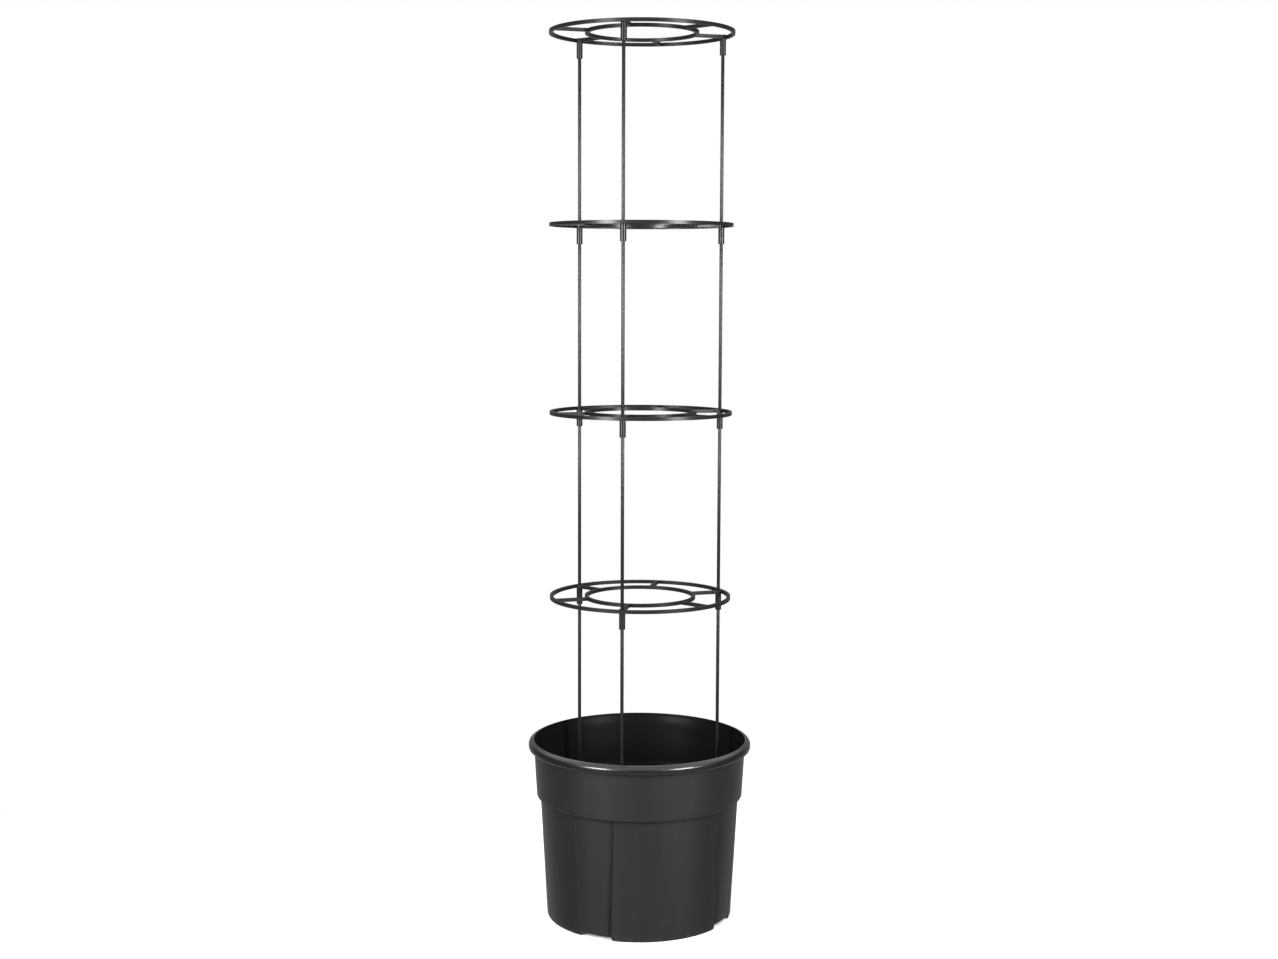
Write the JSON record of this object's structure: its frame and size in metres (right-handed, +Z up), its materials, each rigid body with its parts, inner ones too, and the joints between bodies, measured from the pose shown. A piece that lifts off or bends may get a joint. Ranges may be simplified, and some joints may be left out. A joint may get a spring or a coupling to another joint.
{
  "type": "planter with ring tower",
  "caption": "Round plastic planter pot with a stacked tower of spoked rings on slim push-fit rods, a climbing support for tomatoes and vines.",
  "frame": {"origin": "centre of the pot's base, on the ground", "axes": "+Z up along the tower, -Y to the front, +X through the right-hand rod"},
  "size_m": [0.295, 0.295, 1.1601],
  "materials": {
    "pot_plastic": "satin anthracite moulded plastic",
    "ring_plastic": "semi-gloss dark grey moulded plastic",
    "rod_coating": "matt, finely textured dark coating on steel rod"
  },
  "bodies": {
    "pot": {"pot": "pot_plastic"},
    "rods_1": {"rod_1_right": "rod_coating", "rod_1_back": "rod_coating", "rod_1_front": "rod_coating"},
    "ring_1": {"support_ring_1": "ring_plastic"},
    "rods_2": {"rod_2_right": "rod_coating", "rod_2_back": "rod_coating", "rod_2_front": "rod_coating"},
    "ring_2": {"support_ring_2": "ring_plastic"},
    "rods_3": {"rod_3_right": "rod_coating", "rod_3_back": "rod_coating", "rod_3_front": "rod_coating"},
    "ring_3": {"support_ring_3": "ring_plastic"},
    "rods_4": {"rod_4_right": "rod_coating", "rod_4_back": "rod_coating", "rod_4_front": "rod_coating"},
    "ring_4": {"support_ring_4": "ring_plastic"}
  },
  "joints": [
    {"name": "rods_1_pull", "type": "slide", "parent": "pot", "child": "rods_1", "axis": [0, 0, 1], "range_m": [0, 0.24]},
    {"name": "ring_1_pull", "type": "slide", "parent": "rods_1", "child": "ring_1", "axis": [0, 0, 1], "range_m": [0, 0.03]},
    {"name": "rods_2_pull", "type": "slide", "parent": "ring_1", "child": "rods_2", "axis": [0, 0, 1], "range_m": [0, 0.03]},
    {"name": "ring_2_pull", "type": "slide", "parent": "rods_2", "child": "ring_2", "axis": [0, 0, 1], "range_m": [0, 0.03]},
    {"name": "rods_3_pull", "type": "slide", "parent": "ring_2", "child": "rods_3", "axis": [0, 0, 1], "range_m": [0, 0.03]},
    {"name": "ring_3_pull", "type": "slide", "parent": "rods_3", "child": "ring_3", "axis": [0, 0, 1], "range_m": [0, 0.03]},
    {"name": "rods_4_pull", "type": "slide", "parent": "ring_3", "child": "rods_4", "axis": [0, 0, 1], "range_m": [0, 0.03]},
    {"name": "ring_4_pull", "type": "slide", "parent": "rods_4", "child": "ring_4", "axis": [0, 0, 1], "range_m": [0, 0.03]}
  ]
}
